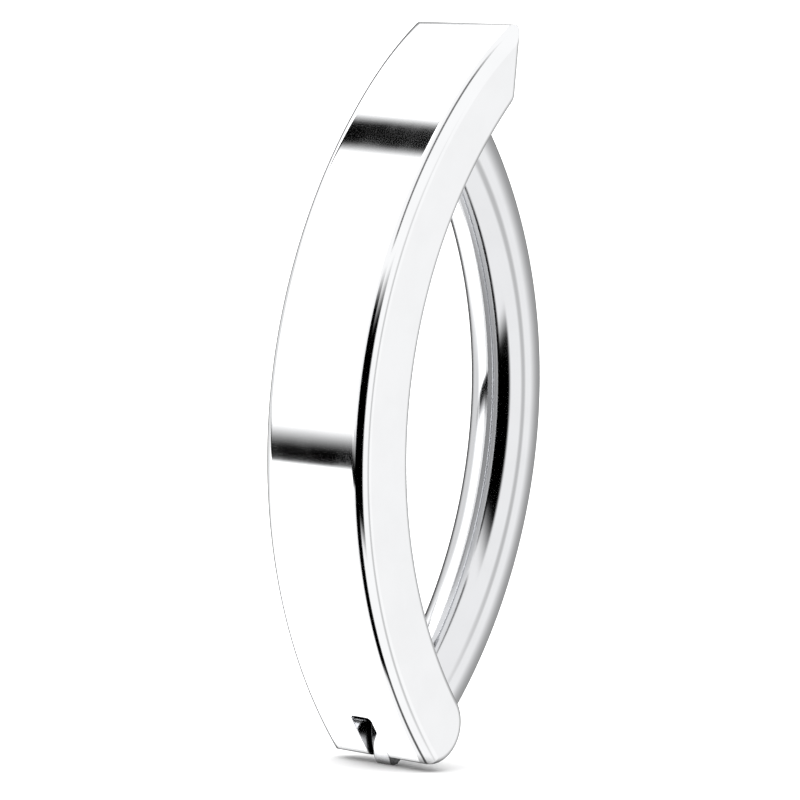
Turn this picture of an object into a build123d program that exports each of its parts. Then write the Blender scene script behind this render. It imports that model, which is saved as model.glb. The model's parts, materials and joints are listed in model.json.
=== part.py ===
"""Hinged clicker ring: a curved flat bar in front, a round wire behind, and a cross pin.

The wire turns on the pin at the bar's lower end. Its flat blade runs in a slot there,
and a tab at its other end clicks into a pocket behind the bar's upper end.

X runs along the pin, -Y faces out of the bar, +Z points up along the ring.
The origin is the middle of the ring's bounding box. All sizes are in millimetres.
"""

import os
from math import acos, asin, atan2, cos, degrees, dist, radians, sin, tan

from build123d import *

# ---- Driving dimensions ----------------------------------------------------------

ring_depth = 5.6  # from the bar's front to the wire's back
belly_height = -0.44  # both arcs bulge most here, a little below the middle

bar_width = 2.38
bar_thickness = 1.22  # at the belly
bar_outer_radius = 9.0
bar_radius_step = 0.94  # the inner face curves this much tighter than the outer face
bar_inner_rise = 0.1  # the inner arc's centre stands this far above the outer arc's
bar_reach = 3.38  # from the bar's front to the flat face at its upper end
end_height = 5.74  # from the belly up to where that reach is measured
end_skew = 6.0  # degrees: the end face is cut further back on the pin's +X side
end_lean = 2.5  # degrees: and leans back towards its top
curl_start = 40.0  # degrees above the belly, where the outer face curls in
curl_radius = 6.5
end_inner_rounding = 0.25
edge_rounding = 0.15

wire_diameter = 1.2
wire_offset = 0.245  # the wire's centre line passes this far behind the pin's centre
wire_start = 0.64  # the round of the wire begins this far up from the pin

hinge_drop = 5.42  # from the belly down to the pin's centre
pin_forward = 0.07  # the pin's centre stands this far in front of mid-thickness
pin_diameter = 0.4
pin_running_clearance = 0.02
knuckle_setback = 0.2  # the rounded end's centre is this far up the bar from the pin
knuckle_back_turn = 37.0  # degrees below level, where the rounded end faces back

blade_thickness = 0.44
blade_side_clearance = 0.02
blade_inset = 0.06  # the blade's inner edge lies this far inside the wire's
blade_reach = 0.22  # the blade's outer edge stands this far out from the centre line
blade_root = 1.6  # the blade starts this far up from the pin, inside the wire
blade_inner_length = 0.2  # its inner edge runs this far down past the pin
blade_outer_length = 0.585  # its outer edge ends this far down past the pin
blade_end_bulge = 0.055
blade_corner_rounding = 0.12
shoulder_clearance = 0.07

slot_stop = 0.083  # the slot's closed end is this much nearer the pin than the corner
slot_corner_rounding = 0.09

tab_height = 0.44
tab_length = 0.6
tab_root = 0.36  # how far the tab runs back into the wire
tab_rounding = 0.08
seat_gap = 0.03  # between the wire's cut end and the bar's inner face
seat_cut = 4.8  # longer than the wire's end is wide, so that the cut runs out on every side
pocket_clearance = 0.05
detent_radius = 0.09
detent_height = 0.035
detent_clearance = 0.02

# ---- Points in the side view, as (y, z) ------------------------------------------

outer_centre = (bar_outer_radius - ring_depth / 2, belly_height)
bar_back = bar_thickness - ring_depth / 2
bar_inner_radius = bar_outer_radius - bar_radius_step
inner_centre = (bar_back + bar_inner_radius, belly_height + bar_inner_rise)


def in_front(centre, radius, angle):
    """The point on a circle at an angle in degrees above its front."""
    return (
        centre[0] - radius * cos(radians(angle)),
        centre[1] + radius * sin(radians(angle)),
    )


def angle_of(centre, point):
    """The angle in degrees at which a point lies above a circle's front."""
    return degrees(atan2(point[1] - centre[1], centre[0] - point[0]))


def on_wire(radius, length):
    """The point a length down the wire from the pin, on a circle about the wire's centre."""
    turn = radians(angle_of(wire_centre, pin)) + length / wire_radius
    return in_front(wire_centre, radius, degrees(turn))


def meeting(centre, radius, other, other_radius, side):
    """Where two circles cross: side is 1 for the upper point and -1 for the lower."""
    gap = dist(centre, other)
    spread = acos((radius**2 + gap**2 - other_radius**2) / (2 * radius * gap))
    return in_front(centre, radius, angle_of(centre, other) + side * degrees(spread))


# The pin sits in the bar, a little in front of the middle of its thickness.
pin_circle = bar_outer_radius - bar_thickness / 2 + pin_forward
pin_angle = -degrees(asin(hinge_drop / pin_circle))
pin = in_front(outer_centre, pin_circle, pin_angle)

# The wire's centre line bulges back to the ring's depth and passes close behind the pin.
# Its blank reaches as far round above the belly as the pin is below it.
wire_back = (ring_depth / 2 - wire_diameter / 2, belly_height)
wire_bulge = wire_back[0] - pin[0]
wire_radius = (wire_bulge**2 + hinge_drop**2 - wire_offset**2) / (2 * (wire_bulge - wire_offset))
wire_centre = (wire_back[0] - wire_radius, belly_height)
wire_inner = wire_radius - wire_diameter / 2
wire_low = on_wire(wire_radius, -wire_start)
wire_high = in_front(wire_centre, wire_radius, -angle_of(wire_centre, pin))

# The rounded lower end of the bar runs tangent into its inner face.
knuckle_turn = degrees(knuckle_setback / pin_circle)
knuckle = in_front(outer_centre, pin_circle, pin_angle + knuckle_turn)
knuckle_radius = dist(knuckle, inner_centre) - bar_inner_radius
knuckle_top = in_front(inner_centre, bar_inner_radius, angle_of(inner_centre, knuckle))
knuckle_back = in_front(knuckle, knuckle_radius, 180 + knuckle_back_turn)
knuckle_corner = meeting(outer_centre, bar_outer_radius, knuckle, knuckle_radius, -1)

# The outer face curls in towards the upper end. The blank runs past the end face, which is cut.
end_face = bar_reach - ring_depth / 2
end_plane = Plane(
    origin=(0, end_face, belly_height + end_height),
    z_dir=(-tan(radians(end_skew)), 1, -tan(radians(end_lean))),
)
blank_end = end_face + bar_width / 4
curl_low = in_front(outer_centre, bar_outer_radius, curl_start)
curl_centre = in_front(outer_centre, bar_outer_radius - curl_radius, curl_start)
curl_end = degrees(acos((curl_centre[0] - blank_end) / curl_radius))
curl_middle = in_front(curl_centre, curl_radius, (curl_start + curl_end) / 2)
end_outer = in_front(curl_centre, curl_radius, curl_end)
end_inner_angle = degrees(acos((inner_centre[0] - blank_end) / bar_inner_radius))
end_inner = in_front(inner_centre, bar_inner_radius, end_inner_angle)

# The catch is where the wire's centre line reaches the bar's inner face.
catch = meeting(inner_centre, bar_inner_radius, wire_centre, wire_radius, 1)
tab_tip = catch[0] - tab_length
detent = (tab_tip + tab_length / 3, catch[1])
pocket_depth = tab_length + 2 * pocket_clearance
pocket_height = tab_height + 2 * pocket_clearance

# The blade follows the wire between two arcs and ends in a bulging face.
blade_inner = wire_inner + blade_inset
blade_outer = wire_radius + blade_reach
blade_inner_low = on_wire(blade_inner, blade_inner_length)
blade_inner_middle = on_wire(blade_inner, 0)
blade_inner_high = on_wire(blade_inner, -blade_root)
blade_outer_high = on_wire(blade_outer, -blade_root)
blade_outer_middle = on_wire(blade_outer, 0)
blade_corner = on_wire(blade_outer, blade_outer_length)

# ---- Front bar -------------------------------------------------------------------

slot_width = blade_thickness + 2 * blade_side_clearance
slot_reach = dist(pin, blade_corner) - slot_stop  # the blade's corner stops against it
slot_turn = degrees(slot_reach / pin_circle)
slot_end = in_front(outer_centre, bar_outer_radius, pin_angle + slot_turn)
slot_cut = 3.0  # longer than the bar is thick, so that the cut runs out on every side
slot_plane = Plane(
    origin=(0, *slot_end),
    x_dir=(1, 0, 0),
    z_dir=(0, outer_centre[0] - slot_end[0], outer_centre[1] - slot_end[1]),
)

with BuildPart() as front_bar:
    with BuildSketch(Plane.YZ):
        with BuildLine():
            ThreePointArc(end_inner, in_front(inner_centre, bar_inner_radius, 0), knuckle_top)
            ThreePointArc(knuckle_top, knuckle_back, knuckle_corner)
            ThreePointArc(knuckle_corner, in_front(outer_centre, bar_outer_radius, 0), curl_low)
            ThreePointArc(curl_low, curl_middle, end_outer)
            Line(end_outer, end_inner)
        make_face()
    extrude(amount=bar_width / 2, both=True)
    with BuildSketch(end_plane):
        Rectangle(2 * bar_width, 2 * bar_width)
    extrude(amount=bar_width, mode=Mode.SUBTRACT)
    end_edges = faces().sort_by_distance(end_plane.origin)[0].edges()
    fillet(end_edges.sort_by(Axis.Z)[0], end_inner_rounding)
    fillet(edges().group_by(Axis.X)[0] + edges().group_by(Axis.X)[-1], edge_rounding)

    # The slot for the wire's blade, open at the lower end and on both faces.
    with BuildSketch(slot_plane):
        with Locations((0, slot_cut / 2)):
            Rectangle(slot_width, slot_cut)
        fillet(vertices().group_by(Axis.Y)[0], slot_corner_rounding)
    extrude(amount=slot_cut, both=True, mode=Mode.SUBTRACT)

    # The cross hole, a press fit on the pin.
    with BuildSketch(Plane.YZ):
        with Locations(pin):
            Circle(pin_diameter / 2)
    extrude(amount=bar_width, both=True, mode=Mode.SUBTRACT)

    # The pocket behind the upper end, with a dimple in each wall for the tab's detents.
    with BuildSketch(Plane.YZ):
        with Locations((catch[0] + pocket_clearance, catch[1])):
            Rectangle(2 * pocket_depth, pocket_height)
    extrude(amount=slot_width / 2, both=True, mode=Mode.SUBTRACT)
    with BuildSketch(Plane.YZ):
        with Locations(detent):
            Circle(detent_radius + detent_clearance)
    extrude(amount=slot_width / 2 + detent_height, both=True, mode=Mode.SUBTRACT)

front_bar.part.label = "front_bar"

# ---- Back wire -------------------------------------------------------------------

wire_reach = dist(pin, meeting(inner_centre, bar_inner_radius, wire_centre, wire_inner, -1))
shoulder_radius = wire_reach + shoulder_clearance

with BuildPart() as back_wire:
    with BuildLine(Plane.YZ) as centre_line:
        ThreePointArc(wire_low, wire_back, wire_high)
    with BuildSketch(Plane(origin=centre_line.line @ 0, z_dir=centre_line.line % 0)):
        Circle(wire_diameter / 2)
    sweep(path=centre_line.line)

    # The lower end is cut round about the pin, to clear the bar as the wire swings.
    with BuildSketch(Plane.YZ):
        with Locations(pin):
            Circle(shoulder_radius)
    extrude(amount=wire_diameter, both=True, mode=Mode.SUBTRACT)

    # The upper end is cut to follow the bar's inner face.
    with BuildSketch(Plane.YZ):
        with Locations((catch[0], catch[1] + seat_cut / 4)):
            Rectangle(seat_cut, seat_cut)
        with Locations(inner_centre):
            Circle(bar_inner_radius - seat_gap, mode=Mode.SUBTRACT)
    extrude(amount=wire_diameter, both=True, mode=Mode.SUBTRACT)

    # The blade: a flat that narrows the wire and turns on the pin.
    with BuildSketch(Plane.YZ):
        with BuildLine():
            ThreePointArc(blade_inner_low, blade_inner_middle, blade_inner_high)
            Line(blade_inner_high, blade_outer_high)
            ThreePointArc(blade_outer_high, blade_outer_middle, blade_corner)
            SagittaArc(blade_corner, blade_inner_low, blade_end_bulge)
        make_face()
        fillet(vertices().sort_by(Axis.Y)[0], blade_corner_rounding)
    extrude(amount=blade_thickness / 2, both=True)

    # The tab and its two detents.
    with BuildSketch(Plane.YZ):
        with Locations(((tab_tip + catch[0] + tab_root) / 2, catch[1])):
            Rectangle(tab_length + tab_root, tab_height)
        fillet(vertices().group_by(Axis.X)[0], tab_rounding)
    extrude(amount=blade_thickness / 2, both=True)
    with BuildSketch(Plane.YZ):
        with Locations(detent):
            Circle(detent_radius)
    extrude(amount=blade_thickness / 2 + detent_height, both=True)

    # The running hole for the pin.
    with BuildSketch(Plane.YZ):
        with Locations(pin):
            Circle(pin_diameter / 2 + pin_running_clearance)
    extrude(amount=wire_diameter, both=True, mode=Mode.SUBTRACT)

back_wire.part.label = "back_wire"

# ---- Hinge pin -------------------------------------------------------------------

with BuildPart() as hinge_pin:
    with BuildSketch(Plane.YZ):
        with Locations(pin):
            Circle(pin_diameter / 2)
    extrude(amount=bar_width / 2, both=True)

hinge_pin.part.label = "hinge_pin"

# ---- Files -----------------------------------------------------------------------

os.makedirs("parts", exist_ok=True)
for piece in (front_bar, back_wire, hinge_pin):
    export_step(piece.part, f"parts/{piece.part.label}.step")
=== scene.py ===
"""Looks of the hinged clicker ring: mirror-polished steel in a plain white studio.

X runs along the hinge pin, -Y faces out of the bar, +Z points up along the ring.
Shapes are worked in millimetres and brought to metres when each piece is finished.
"""

from math import acos, atan2, cos, degrees, pi, radians, sin, sqrt, tau

import bmesh
import bpy
from mathutils import Matrix, Vector
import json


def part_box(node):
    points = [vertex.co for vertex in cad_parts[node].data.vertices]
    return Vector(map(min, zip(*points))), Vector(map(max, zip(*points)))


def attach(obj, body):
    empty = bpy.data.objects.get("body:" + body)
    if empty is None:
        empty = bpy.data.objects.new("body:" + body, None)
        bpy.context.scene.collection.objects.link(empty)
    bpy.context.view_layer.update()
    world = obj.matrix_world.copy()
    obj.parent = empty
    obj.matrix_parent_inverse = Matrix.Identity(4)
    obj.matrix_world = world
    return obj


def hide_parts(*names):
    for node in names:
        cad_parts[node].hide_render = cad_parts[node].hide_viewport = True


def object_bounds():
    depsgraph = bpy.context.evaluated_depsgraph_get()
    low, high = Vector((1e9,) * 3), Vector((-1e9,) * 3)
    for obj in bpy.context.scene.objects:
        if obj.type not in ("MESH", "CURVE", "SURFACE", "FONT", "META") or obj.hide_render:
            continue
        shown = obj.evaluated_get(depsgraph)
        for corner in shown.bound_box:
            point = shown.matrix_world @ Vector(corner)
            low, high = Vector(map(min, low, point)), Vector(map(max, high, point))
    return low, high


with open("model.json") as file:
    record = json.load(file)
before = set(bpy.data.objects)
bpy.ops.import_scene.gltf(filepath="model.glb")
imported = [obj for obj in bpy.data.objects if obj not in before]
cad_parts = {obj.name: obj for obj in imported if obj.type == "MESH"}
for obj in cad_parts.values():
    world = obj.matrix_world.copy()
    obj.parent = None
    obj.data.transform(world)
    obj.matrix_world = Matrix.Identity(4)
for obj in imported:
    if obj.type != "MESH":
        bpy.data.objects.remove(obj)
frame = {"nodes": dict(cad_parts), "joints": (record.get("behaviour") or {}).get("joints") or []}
cad_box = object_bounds()

MM = 0.001
ALONG_PIN = Vector((1, 0, 0))

# ---- Sizes, in millimetres -------------------------------------------------------

bar_box = [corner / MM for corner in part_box("front_bar")]
wire_box = [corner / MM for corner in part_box("back_wire")]
pin = Vector(frame["joints"][0]["pos_m"]) / MM

ring_front = bar_box[0].y
ring_back = wire_box[1].y
belly_height = -0.44
bar_width = bar_box[1].x - bar_box[0].x

bar_thickness = 1.22
bar_outer_radius = 9.0
bar_inner_radius = 8.06
bar_inner_rise = 0.1
curl_start = 40.0
curl_radius = 6.5
corner_radius = 0.24
inner_edge_radius = 0.13
least_rounding = 0.01
end_face = 0.58
end_height = 5.3
end_lean = 2.5
end_skew = 0.105  # how much further back the end is cut, for each millimetre across
end_outer_rounding = 0.03
end_inner_rounding = 0.25
knuckle_rounding = 0.075
knuckle_setback = 0.2

wire_diameter = 1.2
wire_offset = 0.245
wire_start = 0.64
seat_gap = 0.03
shoulder_clearance = 0.07

blade_thickness = 0.44
blade_inset = 0.06
blade_reach = 0.22
blade_root = 1.6
blade_inner_length = 0.2
blade_outer_length = 0.585
blade_end_bulge = 0.055
blade_corner_rounding = 0.12
blade_edge_rounding = 0.06

slot_width = 0.48
slot_stop = 0.083
slot_corner_rounding = 0.09
slot_cut = 3.0

tab_height = 0.44
tab_length = 0.6
tab_root = 0.36
tab_rounding = 0.08
pocket_clearance = 0.05
detent_radius = 0.09
detent_height = 0.035
detent_clearance = 0.02

pin_diameter = 0.4
pin_running_clearance = 0.02
pin_cover = 0.04  # polished over at each end, so that the pin doesn't show

arc_step = 0.055  # the longest straight run along the wire
round_segments = 96
detent_segments = 32
shoulder_segments = 192
seat_segments = 720
inner_face_steps = 160  # straight runs in each arc of the bar's outline
outer_face_steps = 180
knuckle_steps = 48
curl_steps = 32
end_inner_steps = 12
corner_steps = 8
blade_face_steps = 32
blade_end_steps = 24
blade_corner_steps = 12
blade_edge_segments = 6
tab_tip_segments = 6
rounding_turn = 5  # degrees from one outline to the next around the bar's long edges
sharp_angle = 30.0

line_pitch = 14.0  # polishing lines, waves and haze, in repeats to a millimetre
wave_pitch = 0.5
haze_pitch = 1.4
wave_height = 0.0006
line_height = 0.00002
worn_rim = 0.03  # how far wear has rounded the sharp edges
worn_roughness = 0.1
painted_shade_reach = 0.35  # how near another surface must be for painted shade to darken this one
rim_samples = 6
painted_shade_samples = 8
floor_radius = 3.0  # metres, as are all sizes in the studio
flag_distance = 0.25


# ---- Geometry of the side view ---------------------------------------------------


def in_front(centre, radius, angle):
    """The point on a circle at an angle in degrees above its front, seen from the side."""
    turn = radians(angle)
    return centre + radius * Vector((0, -cos(turn), sin(turn)))


def angle_of(centre, point):
    """The angle in degrees at which a point lies above a circle's front."""
    return degrees(atan2(point.z - centre.z, centre.y - point.y))


def meeting(centre, radius, other, other_radius, side):
    """Where two circles cross: side is 1 for the upper point and -1 for the lower."""
    gap = (other - centre).length
    spread = acos((radius**2 + gap**2 - other_radius**2) / (2 * radius * gap))
    return in_front(centre, radius, angle_of(centre, other) + side * degrees(spread))


def crossing(centre, radius, point, along):
    """Where a line through a point leaves a circle."""
    gap = point - centre
    middle = gap.dot(along)
    return point + along * (sqrt(middle**2 - gap.dot(gap) + radius**2) - middle)


def away(centre, point, radius):
    """The point of a circle that lies the same way from its centre as another point."""
    return centre + radius * (point - centre).normalized()


outer_centre = Vector((0, ring_front + bar_outer_radius, belly_height))
inner_centre = Vector(
    (0, ring_front + bar_thickness + bar_inner_radius, belly_height + bar_inner_rise)
)
pin_circle = (pin - outer_centre).length

wire_bulge = ring_back - wire_diameter / 2 - pin.y
wire_drop = belly_height - pin.z
wire_radius = (wire_bulge**2 + wire_drop**2 - wire_offset**2) / (2 * (wire_bulge - wire_offset))
wire_centre = Vector((0, ring_back - wire_diameter / 2 - wire_radius, belly_height))
wire_inner = wire_radius - wire_diameter / 2


def on_wire(radius, length):
    """The point a length down the wire from the pin, on a circle about the wire's centre."""
    turn = angle_of(wire_centre, pin) + degrees(length / wire_radius)
    return in_front(wire_centre, radius, turn)


# ---- Drawing and cutting tools ---------------------------------------------------


def start_outline(sketch, first):
    """The first point of an outline."""
    return bmesh.ops.create_vert(sketch, co=first)["vert"][0]


def carry_round(sketch, last, centre, goal, steps):
    """Carries an outline's last point round a centre to the goal, drawing the arc."""
    turn = radians(angle_of(centre, last.co) - angle_of(centre, goal))
    turn = (turn + pi) % tau - pi
    made = bmesh.ops.spin(
        sketch, geom=[last], cent=centre, axis=ALONG_PIN, angle=turn, steps=steps
    )
    return next(item for item in made["geom_last"] if isinstance(item, bmesh.types.BMVert))


def carry_straight(sketch, last, goal):
    """Draws a straight line from an outline's last point to the goal."""
    made = bmesh.ops.extrude_vert_indiv(sketch, verts=[last])
    made["verts"][0].co = goal
    return made["verts"][0]


def thicken(sketch, width):
    """Closes a drawn outline and gives it a width along the pin, centred."""
    bmesh.ops.remove_doubles(sketch, verts=sketch.verts, dist=1e-4)
    bmesh.ops.contextual_create(sketch, geom=sketch.edges)
    made = bmesh.ops.extrude_face_region(sketch, geom=sketch.faces, use_keep_orig=True)
    moved = [item for item in made["geom"] if isinstance(item, bmesh.types.BMVert)]
    bmesh.ops.translate(sketch, verts=moved, vec=ALONG_PIN * width)
    bmesh.ops.translate(sketch, verts=sketch.verts, vec=ALONG_PIN * -width / 2)
    bmesh.ops.recalc_face_normals(sketch, faces=sketch.faces)
    return sketch


def round_edges(shape, edges, size, segments):
    """Rounds a set of edges over."""
    bmesh.ops.bevel(
        shape,
        geom=edges,
        offset=size,
        offset_type="OFFSET",
        affect="EDGES",
        segments=segments,
        profile=0.5,
        material=-1,
    )


def side_rims(shape, width):
    """The edges around both flat sides of a thickened outline."""
    return [
        edge
        for edge in shape.edges
        if all(abs(abs(v.co.x) - width / 2) < 1e-4 for v in edge.verts)
        and edge.verts[0].co.x * edge.verts[1].co.x > 0
    ]


def round_bar(centre, radius, length, steps=round_segments):
    """A plain round bar along the pin's direction."""
    shape = bmesh.new()
    bmesh.ops.create_cone(
        shape,
        cap_ends=True,
        segments=steps,
        radius1=radius,
        radius2=radius,
        depth=length,
        matrix=Matrix.Translation(centre) @ Matrix.Rotation(radians(90), 4, "Y"),
    )
    return shape


def block(middle, size):
    """A plain block."""
    shape = bmesh.new()
    place = Matrix.Translation(middle)
    bmesh.ops.create_cube(shape, size=1, matrix=place @ Matrix.Diagonal((*size, 1)))
    return shape


def as_object(shape, name):
    """Puts a shape in the scene and lets go of its sketch."""
    mesh = bpy.data.meshes.new(name)
    shape.to_mesh(mesh)
    shape.free()
    made = bpy.data.objects.new(name, mesh)
    bpy.context.scene.collection.objects.link(made)
    return made


def add_to(shape, other):
    """Adds another shape beside the first."""
    mesh = bpy.data.meshes.new("part")
    other.to_mesh(mesh)
    other.free()
    shape.from_mesh(mesh)
    bpy.data.meshes.remove(mesh)


def worked(piece, steps):
    """Cuts, joins or trims a piece with a list of (operation, tool) and applies the result."""
    tools = []
    for operation, shape in steps:
        tool = as_object(shape, "tool")
        work = piece.modifiers.new(operation.lower(), "BOOLEAN")
        work.operation = operation
        work.solver = "EXACT"
        work.object = tool
        tools.append(tool)
    settle(piece)
    for tool in tools:
        bpy.data.meshes.remove(tool.data)


def settle(piece):
    """Applies a piece's modifiers to its mesh."""
    graph = bpy.context.evaluated_depsgraph_get()
    mesh = bpy.data.meshes.new_from_object(piece.evaluated_get(graph))
    piece.modifiers.clear()
    old, piece.data = piece.data, mesh
    name = old.name
    bpy.data.meshes.remove(old)
    mesh.name = name


def finish_piece(piece):
    """Smooths the piece's shading up to its sharp edges, then brings it to metres.

    The even shading weighs each face by its area, which only works in millimetres.
    """
    shape = bmesh.new()
    shape.from_mesh(piece.data)
    bmesh.ops.remove_doubles(shape, verts=shape.verts, dist=1e-4)
    bmesh.ops.recalc_face_normals(shape, faces=shape.faces)
    shape.to_mesh(piece.data)
    shape.free()
    piece.data.shade_smooth()
    piece.data.set_sharp_from_angle(angle=radians(sharp_angle))
    weigh = piece.modifiers.new("even", "WEIGHTED_NORMAL")
    weigh.keep_sharp = True
    settle(piece)
    piece.data.transform(Matrix.Scale(MM, 4))


# ---- Front bar -------------------------------------------------------------------


def edge_drop(radius, inset):
    """How far a rounded edge falls away at a distance in from the side."""
    return radius - sqrt(radius**2 - max(radius - inset, 0) ** 2)


def bar_slice(across):
    """The bar's outline at one place across its width: two long arcs and two shaped ends."""
    shape = bmesh.new()
    inset = bar_width / 2 - abs(across)
    outer_drop = edge_drop(corner_radius, inset)
    inner_drop = edge_drop(inner_edge_radius, inset)
    outer_radius = bar_outer_radius - outer_drop
    inner_radius = bar_inner_radius + inner_drop
    tip_radius = curl_radius - outer_drop
    curl_low = in_front(outer_centre, outer_radius, curl_start)
    curl_centre = in_front(outer_centre, bar_outer_radius - curl_radius, curl_start)
    knuckle = in_front(
        outer_centre,
        pin_circle,
        angle_of(outer_centre, pin) + degrees(knuckle_setback / pin_circle),
    )
    knuckle_radius = (knuckle - inner_centre).length - inner_radius
    knuckle_top = away(inner_centre, knuckle, inner_radius)

    low_round = max(knuckle_rounding - outer_drop, least_rounding)
    low_centre = meeting(
        outer_centre, outer_radius - low_round, knuckle, knuckle_radius - low_round, -1
    )
    lean = radians(end_lean)
    up_the_end = Vector((0, sin(lean), cos(lean)))
    inward = Vector((0, -cos(lean), sin(lean)))
    end = Vector((0, end_face + end_skew * across, end_height)) + inward * inner_drop
    high_round = max(end_outer_rounding - outer_drop, least_rounding)
    high_centre = crossing(curl_centre, tip_radius - high_round, end + inward * high_round, up_the_end)
    inner_round = max(end_inner_rounding - inner_drop, least_rounding)
    inner_round_centre = crossing(
        inner_centre, inner_radius + inner_round, end + inward * inner_round, up_the_end
    )
    first = away(inner_centre, inner_round_centre, inner_radius)

    last = start_outline(shape, first)
    knuckle_low = away(knuckle, low_centre, knuckle_radius)
    outer_low = away(outer_centre, low_centre, outer_radius)
    curl_high = away(curl_centre, high_centre, tip_radius)
    last = carry_round(shape, last, inner_centre, knuckle_top, inner_face_steps)
    last = carry_round(shape, last, knuckle, knuckle_low, knuckle_steps)
    last = carry_round(shape, last, low_centre, outer_low, corner_steps)
    last = carry_round(shape, last, outer_centre, curl_low, outer_face_steps)
    last = carry_round(shape, last, curl_centre, curl_high, curl_steps)
    last = carry_round(shape, last, high_centre, high_centre - inward * high_round, corner_steps)
    last = carry_straight(shape, last, inner_round_centre - inward * inner_round)
    carry_round(shape, last, inner_round_centre, first, end_inner_steps)
    bmesh.ops.translate(shape, verts=shape.verts, vec=ALONG_PIN * across)
    bmesh.ops.remove_doubles(shape, verts=shape.verts, dist=1e-5)
    return shape


def bar_blank():
    """The bar before it is cut, lofted through outlines across its width."""
    insets = [corner_radius * (1 - cos(radians(turn))) for turn in range(0, 91, rounding_turn)]
    stations = [inset - bar_width / 2 for inset in insets]
    stations += [-station for station in reversed(stations)]
    shape = bmesh.new()
    for station in stations:
        add_to(shape, bar_slice(station))
    shape.edges.ensure_lookup_table()
    count = len(shape.edges) // len(stations)
    rings = [shape.edges[i * count : (i + 1) * count] for i in range(len(stations))]
    for ring, following in zip(rings, rings[1:]):
        bmesh.ops.bridge_loops(shape, edges=ring + following)
    for ring in (rings[0], rings[-1]):
        bmesh.ops.contextual_create(shape, geom=ring)
    bmesh.ops.recalc_face_normals(shape, faces=shape.faces)
    return shape


def slot_tool():
    """The milling tool for the blade's slot, with its two rounded corners."""
    corner = on_wire(wire_radius + blade_reach, blade_outer_length)
    reach = (corner - pin).length - slot_stop
    turn = angle_of(outer_centre, pin) + degrees(reach / pin_circle)
    end = in_front(outer_centre, bar_outer_radius, turn)
    shape = block(Vector((0, 0, -slot_cut / 2)), (slot_width, 2 * slot_cut, slot_cut))
    upright = [
        edge
        for edge in shape.edges
        if all(abs(v.co.z) < 1e-4 for v in edge.verts)
        and abs(edge.verts[0].co.x - edge.verts[1].co.x) < 1e-4
    ]
    round_edges(shape, upright, slot_corner_rounding, corner_steps)
    place = Matrix.Translation(end) @ Matrix.Rotation(radians(-turn), 4, "X")
    bmesh.ops.transform(shape, matrix=place, verts=shape.verts)
    return shape


def catch_point():
    """Where the wire's centre line reaches the bar's inner face."""
    return meeting(inner_centre, bar_inner_radius, wire_centre, wire_radius, 1)


def detent_point():
    """The middle of the two detents, a third of the tab's length from its tip."""
    return catch_point() + Vector((0, tab_length / 3 - tab_length, 0))


def make_front_bar():
    """The curved flat bar, with its slot, cross hole and catch pocket."""
    bar = as_object(bar_blank(), "bar_body")
    catch = catch_point()
    pocket_depth = tab_length + 2 * pocket_clearance
    pocket_height = tab_height + 2 * pocket_clearance
    pocket = block(
        catch + Vector((0, pocket_clearance, 0)), (slot_width, 2 * pocket_depth, pocket_height)
    )
    dimples = round_bar(
        detent_point(),
        detent_radius + detent_clearance,
        slot_width + 2 * detent_height,
        detent_segments,
    )
    cross_hole = round_bar(pin, pin_diameter / 2, bar_width - 2 * pin_cover)
    worked(
        bar,
        [
            ("DIFFERENCE", slot_tool()),
            ("DIFFERENCE", cross_hole),
            ("DIFFERENCE", pocket),
            ("DIFFERENCE", dimples),
        ],
    )
    finish_piece(bar)
    return bar


# ---- Back wire -------------------------------------------------------------------


def wire_round():
    """The wire itself: a round section carried along its arc."""
    lower = angle_of(wire_centre, on_wire(wire_radius, -wire_start / 2))
    upper = -angle_of(wire_centre, pin)
    shape = bmesh.new()
    wire_back = wire_centre + Vector((0, wire_radius, 0))
    bmesh.ops.create_circle(
        shape,
        cap_ends=True,
        segments=round_segments,
        radius=wire_diameter / 2,
        matrix=Matrix.Translation(wire_back),
    )
    start = radians(180 - lower)
    end = radians(180 - upper)
    bmesh.ops.rotate(
        shape, verts=shape.verts, cent=wire_centre, matrix=Matrix.Rotation(start, 3, "X")
    )
    turn = (end - start + pi) % tau - pi
    bmesh.ops.spin(
        shape,
        geom=shape.faces[:] + shape.edges[:] + shape.verts[:],
        cent=wire_centre,
        axis=ALONG_PIN,
        angle=turn,
        steps=round(abs(turn) * wire_radius / arc_step),
    )
    bmesh.ops.recalc_face_normals(shape, faces=shape.faces)
    return shape


def blade_shape():
    """The flat blade that turns on the pin, ending in a bulging face."""
    inner = wire_inner + blade_inset
    outer = wire_radius + blade_reach
    inner_low = on_wire(inner, blade_inner_length)
    corner = on_wire(outer, blade_outer_length)
    chord = (corner - inner_low).length
    bulge_radius = (chord**2 / 4 + blade_end_bulge**2) / (2 * blade_end_bulge)
    across = (corner - inner_low).normalized()
    inward = Vector((0, -across.z, across.y))
    bulge_centre = (corner + inner_low) / 2 + inward * (bulge_radius - blade_end_bulge)
    rounding = blade_corner_rounding
    corner_centre = meeting(wire_centre, outer - rounding, bulge_centre, bulge_radius - rounding, 1)
    sketch = bmesh.new()
    last = start_outline(sketch, inner_low)
    outer_low = away(wire_centre, corner_centre, outer)
    bulge_start = away(bulge_centre, corner_centre, bulge_radius)
    last = carry_round(sketch, last, wire_centre, on_wire(inner, -blade_root), blade_face_steps)
    last = carry_straight(sketch, last, on_wire(outer, -blade_root))
    last = carry_round(sketch, last, wire_centre, outer_low, blade_face_steps)
    last = carry_round(sketch, last, corner_centre, bulge_start, blade_corner_steps)
    carry_round(sketch, last, bulge_centre, inner_low, blade_end_steps)
    shape = thicken(sketch, blade_thickness)
    rims = side_rims(shape, blade_thickness)
    round_edges(shape, rims, blade_edge_rounding, blade_edge_segments)
    return shape


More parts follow.
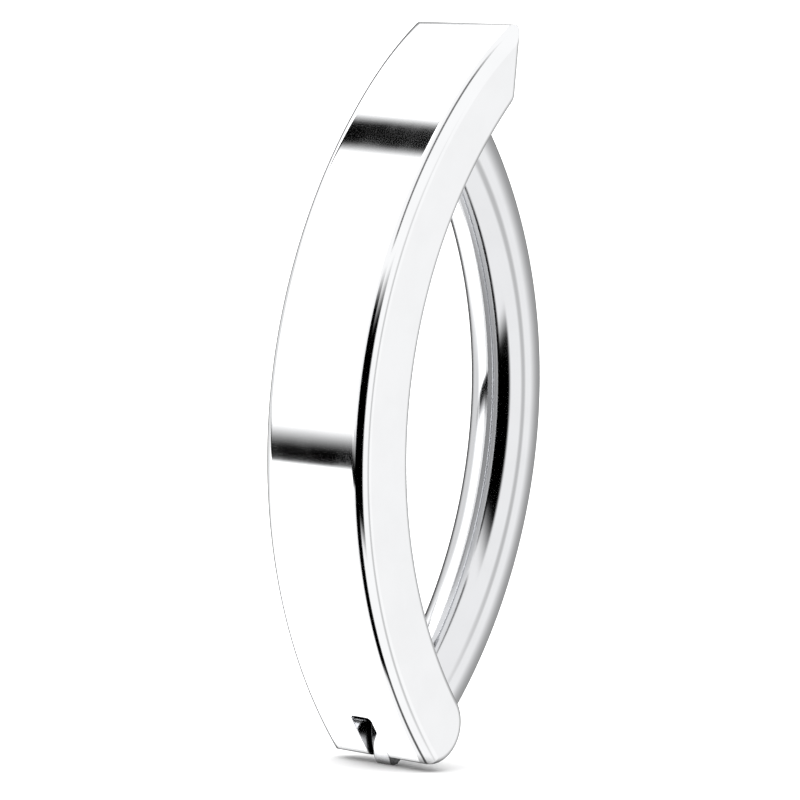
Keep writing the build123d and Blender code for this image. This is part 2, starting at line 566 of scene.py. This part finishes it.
def tab_shape():
    """The tab that clicks into the bar."""
    catch = catch_point()
    length = tab_length + tab_root
    middle = catch + Vector((0, tab_root - length / 2, 0))
    shape = block(middle, (blade_thickness, length, tab_height))
    tip = middle.y - length / 2
    edges = [e for e in shape.edges if all(abs(v.co.y - tip) < 1e-4 for v in e.verts)]
    round_edges(shape, edges, tab_rounding, tab_tip_segments)
    return shape


def make_back_wire():
    """The round wire, with its blade at one end and its tab at the other."""
    wire_reach = (meeting(inner_centre, bar_inner_radius, wire_centre, wire_inner, -1) - pin).length
    detent_width = blade_thickness + 2 * detent_height
    shoulder_radius = wire_reach + shoulder_clearance
    seat_radius = bar_inner_radius - seat_gap
    hole_radius = pin_diameter / 2 + pin_running_clearance
    cut_width = 2 * wire_diameter
    wire = as_object(wire_round(), "wire_body")
    worked(
        wire,
        [
            ("DIFFERENCE", round_bar(pin, shoulder_radius, cut_width, shoulder_segments)),
            ("INTERSECT", round_bar(inner_centre, seat_radius, cut_width, seat_segments)),
            ("UNION", blade_shape()),
            ("UNION", tab_shape()),
            ("UNION", round_bar(detent_point(), detent_radius, detent_width, detent_segments)),
            ("DIFFERENCE", round_bar(pin, hole_radius, cut_width)),
        ],
    )
    finish_piece(wire)
    return wire


# ---- Hinge pin -------------------------------------------------------------------


def make_hinge_pin():
    """The cross pin, pressed in and polished over at its ends."""
    pin_body = as_object(round_bar(pin, pin_diameter / 2, bar_width - 2 * pin_cover), "pin_body")
    finish_piece(pin_body)
    return pin_body


# ---- Finishes --------------------------------------------------------------------


def put(tree, kind, inputs, **settings):
    """Adds a shader node with its settings, its plain values and its links."""
    made = tree.nodes.new("ShaderNode" + kind)
    for name, value in settings.items():
        setattr(made, name, value)
    for socket, value in inputs.items():
        if isinstance(value, bpy.types.NodeSocket):
            tree.links.new(value, made.inputs[socket])
        else:
            made.inputs[socket].default_value = value
    return made


def spread(tree, value, low, high, to_low, to_high):
    """Carries a value smoothly from one range to another."""
    inputs = {"Value": value, "From Min": low, "From Max": high, "To Min": to_low, "To Max": to_high}
    return put(tree, "MapRange", inputs, interpolation_type="SMOOTHSTEP").outputs["Result"]


def combine(tree, operation, first, second, third=0.0):
    """Adds, multiplies or otherwise combines values."""
    return put(tree, "Math", {0: first, 1: second, 2: third}, operation=operation).outputs[0]


def steel(name, tone, polish, stretch):
    """Polished steel: faint waves and polishing lines, haze, worn rims, and painted shade that darkens
    the colour near other surfaces.
    """
    made = bpy.data.materials.new(name)
    made.use_nodes = True
    tree = made.node_tree
    place = tree.nodes.new("ShaderNodeTexCoord").outputs["Object"]
    sized = put(tree, "VectorMath", {0: place, "Scale": 1 / MM}, operation="SCALE").outputs["Vector"]
    drawn = put(tree, "Mapping", {"Vector": sized, "Scale": stretch}).outputs["Vector"]
    lines = put(tree, "TexNoise", {"Vector": drawn, "Scale": line_pitch, "Detail": 2.0}).outputs[0]
    waves = put(tree, "TexNoise", {"Vector": sized, "Scale": wave_pitch, "Detail": 0.0}).outputs[0]
    haze = put(tree, "TexNoise", {"Vector": sized, "Scale": haze_pitch, "Detail": 4.0}).outputs[0]

    rim = put(tree, "Bevel", {"Radius": worn_rim * MM}, samples=rim_samples).outputs["Normal"]
    flat = tree.nodes.new("ShaderNodeNewGeometry").outputs["Normal"]
    turned = put(tree, "VectorMath", {0: rim, 1: flat}, operation="DOT_PRODUCT").outputs["Value"]
    worn = spread(tree, turned, 0.99, 0.85, 0.0, 1.0)
    # Painted shade: the colour goes dark wherever another surface, the floor included, comes near,
    # such as in the slot and where the wire meets the bar.
    shaded = {"Distance": painted_shade_reach * MM}
    shade = put(tree, "AmbientOcclusion", shaded, samples=painted_shade_samples).outputs["AO"]

    painted_shade_level = spread(tree, shade, 0.3, 0.95, 0.02, 1.0)
    cloudy = spread(tree, haze, 0.3, 0.8, 1.0, 0.97)
    # The colour's level is the painted shade times the haze's random tone.
    level = combine(tree, "MULTIPLY", painted_shade_level, cloudy)
    colour = put(tree, "VectorMath", {0: tone, "Scale": level}, operation="SCALE").outputs["Vector"]

    dull = spread(tree, haze, 0.35, 0.75, polish, 1.7 * polish)
    lined = combine(tree, "MULTIPLY_ADD", lines, 0.4 * polish, dull)
    rough = combine(tree, "MULTIPLY_ADD", worn, worn_roughness, lined)

    relief = combine(tree, "MULTIPLY_ADD", lines, line_height / wave_height, waves)
    bump = put(tree, "Bump", {"Height": relief, "Distance": wave_height * MM, "Normal": rim})
    surface = tree.nodes["Principled BSDF"]
    surface.inputs["Metallic"].default_value = 1.0
    tree.links.new(colour, surface.inputs["Base Color"])
    tree.links.new(rough, surface.inputs["Roughness"])
    tree.links.new(bump.outputs["Normal"], surface.inputs["Normal"])
    return made


# ---- Pieces ----------------------------------------------------------------------

# The bar is polished along its length, the wire was drawn round its arc, the pin is ground.
finishes = {
    "front_bar": steel("bar_mirror_polish", (0.87, 0.875, 0.885), 0.04, (1, 0.08, 0.05)),
    "back_wire": steel("wire_drawn_polish", (0.75, 0.755, 0.77), 0.055, (1, 0.12, 0.04)),
    "hinge_pin": steel("pin_ground_end", (0.80, 0.81, 0.83), 0.12, (1, 1, 0.1)),
}

for make, body, replaced, part in (
    (make_front_bar, "bar", "front_bar", "bar_steel"),
    (make_back_wire, "wire", "back_wire", "wire_steel"),
    (make_hinge_pin, "bar", "hinge_pin", "pin_steel"),
):
    piece = make()
    for shown in (piece, frame["nodes"][replaced]):
        shown.data.materials.clear()
        shown.data.materials.append(finishes[replaced])
    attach(piece, body)
    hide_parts(replaced)

# ---- Studio ----------------------------------------------------------------------


def cloth(name, weave):
    """Black studio cloth, thinned out by a function that gives how much it covers."""
    made = bpy.data.materials.new(name)
    made.use_nodes = True
    tree = made.node_tree
    tree.nodes.clear()
    place = tree.nodes.new("ShaderNodeTexCoord").outputs["Object"]
    cover = weave(tree, place)
    clear = tree.nodes.new("ShaderNodeBsdfTransparent").outputs[0]
    black = put(tree, "BsdfDiffuse", {"Color": (0, 0, 0, 1)}).outputs[0]
    mixed = put(tree, "MixShader", {0: cover, 1: clear, 2: black}).outputs[0]
    put(tree, "OutputMaterial", {"Surface": mixed})
    return made


def feathered(soft, depth):
    """A cover that fades over a share of the cloth at its left, right, bottom and top."""

    def weave(tree, place):
        split = put(tree, "SeparateXYZ", {0: place}).outputs
        cover = depth
        for axis, edge, width in zip("XXYY", (-0.5, 0.5, -0.5, 0.5), soft):
            fade = spread(tree, split[axis], edge, edge * (1 - 2 * width), 0.0, 1.0)
            cover = combine(tree, "MULTIPLY", cover, fade)
        return cover

    return weave


def rounded(depth):
    """A cover that fades from the middle of the cloth to its rim."""

    def weave(tree, place):
        reach = put(tree, "VectorMath", {0: place}, operation="LENGTH").outputs["Value"]
        return spread(tree, reach, 0.5, 0.0, 0.0, depth)

    return weave


def facing(turn, rise, distance):
    """The place of something hung round the ring and turned to face it."""
    around, over = radians(turn), radians(rise)
    outward = Vector((sin(around) * cos(over), -cos(around) * cos(over), sin(over)))
    level = Vector((cos(around), sin(around), 0))
    turned = Matrix((level, outward.cross(level), outward)).transposed().to_4x4()
    return Matrix.Translation(outward * distance) @ turned


def hang_flag(name, place, width, height, weave):
    """Hangs a black flag that only the polished steel sees."""
    shape = bmesh.new()
    bmesh.ops.create_grid(shape, x_segments=1, y_segments=1, size=0.5)
    flag = as_object(shape, name)
    flag.data.materials.append(cloth(name, weave))
    flag.matrix_world = place @ Matrix.Diagonal((width, height, 1, 1))
    flag.visible_camera = False
    flag.visible_diffuse = False
    flag.visible_shadow = False
    flag.visible_transmission = False


def softbox(name, place, width, height, glow):
    """A large soft lamp that faces the ring."""
    data = bpy.data.lights.new(name, "AREA")
    data.shape = "RECTANGLE"
    data.size, data.size_y = width, height
    data.energy = glow * pi * width * height
    lamp = bpy.data.objects.new(name, data)
    bpy.context.scene.collection.objects.link(lamp)
    lamp.matrix_world = place
    return lamp


world = bpy.data.worlds.new("studio")
world.use_nodes = True
world.node_tree.nodes["Background"].inputs["Color"].default_value = (1, 1, 1, 1)
world.node_tree.nodes["Background"].inputs["Strength"].default_value = 1.1
bpy.context.scene.world = world
bpy.context.scene.view_settings.view_transform = "Standard"

softbox("side_box", facing(-68, 0, 0.42), 0.62, 1.2, 1.35)
softbox("top_box", facing(20, 80, 0.5), 0.8, 0.8, 1.2).visible_glossy = False

# Two narrow flags along the pin's direction draw the bands across the bar.
for name, rise, left, right, height, soft in (
    ("low_flag", -11.4, -0.60, 0.10, 0.062, (0.05, 0.02, 0.12, 0.7)),
    ("high_flag", 61.0, -0.60, -0.17, 0.066, (0.05, 0.05, 0.35, 0.35)),
):
    sideways = Matrix.Translation(((left + right) / 2, 0, 0))
    place = sideways @ facing(0, rise, flag_distance)
    hang_flag(name, place, right - left, height, feathered(soft, 1.0))

# The others stand round the ring and draw its edges and the wire.
for name, turn, rise, distance, width, height, soft, depth in (
    ("body_flag", 8, -16, flag_distance, 0.172, 0.483, (0.15, 0.15, 0.1, 0.15), 1.0),
    ("camera_flag", 38, -2, 0.26, 0.230, 0.260, (0.1, 0.2, 0.15, 0.25), 1.0),
    ("top_flag", 20, 57, 0.24, 0.075, 0.260, (0.3, 0.3, 0.1, 0.3), 0.85),
    ("low_edge_flag", 19, -68, 0.24, 0.090, 0.260, (0.3, 0.3, 0.2, 0.1), 0.9),
    ("grey_flag", 105, -12, 0.27, 0.110, 0.300, (0.4, 0.4, 0.3, 0.3), 0.4),
    ("left_flag", -96, 0, 0.27, 0.620, 0.360, (0.2, 0.3, 0.35, 0.35), 0.65),
    ("far_flag", -126, 0, 0.26, 0.400, 0.900, (0.2, 0.35, 0.25, 0.25), 0.6),
):
    hang_flag(name, facing(turn, rise, distance), width, height, feathered(soft, depth))
hang_flag("dusk", facing(-166, -4, flag_distance), 0.9, 1.2, rounded(0.65))

floor_shape = bmesh.new()
bmesh.ops.create_circle(floor_shape, cap_ends=True, segments=round_segments, radius=floor_radius)
bmesh.ops.translate(floor_shape, verts=floor_shape.verts, vec=(0, 0, cad_box[0].z))
floor = as_object(floor_shape, "floor")
pale = bpy.data.materials.new("pale_floor")
pale.use_nodes = True
pale.node_tree.nodes["Principled BSDF"].inputs["Base Color"].default_value = (0.9, 0.9, 0.9, 1)
pale.node_tree.nodes["Principled BSDF"].inputs["Roughness"].default_value = 0.9
pale.node_tree.nodes["Principled BSDF"].inputs["Specular IOR Level"].default_value = 0.0
floor.data.materials.append(pale)
floor.visible_glossy = False

# ---- Camera ----------------------------------------------------------------------

camera_turn = 42.0  # round from the bar's front towards the pin's near end
camera_rise = 6.24
camera_roll = 3.29
camera_distance = 300.0
camera_aim = Vector((1.518, 0.448))  # right and up of the bar's belly, as the camera sees it
camera_lens = 776.1
sensor_width = 36.0

turn, rise, roll = radians(camera_turn), radians(camera_rise), radians(camera_roll)
back = Vector((sin(turn) * cos(rise), -cos(turn) * cos(rise), sin(rise)))
level = Vector((cos(turn), sin(turn), 0))
upright = back.cross(level)
right = cos(roll) * level + sin(roll) * upright
up = -sin(roll) * level + cos(roll) * upright

camera_data = bpy.data.cameras.new("camera")
camera = bpy.data.objects.new("camera", camera_data)
bpy.context.scene.collection.objects.link(camera)
camera_data.lens = camera_lens
camera_data.sensor_width = sensor_width
camera_data.clip_start = 0.01
camera_data.clip_end = 10
belly = Vector((0, ring_front, belly_height))
place = belly + camera_aim.x * right + camera_aim.y * up + camera_distance * back
facing_ring = Matrix((right, up, back)).transposed().to_4x4()
camera.matrix_world = Matrix.Translation(place * MM) @ facing_ring
bpy.context.scene.camera = camera
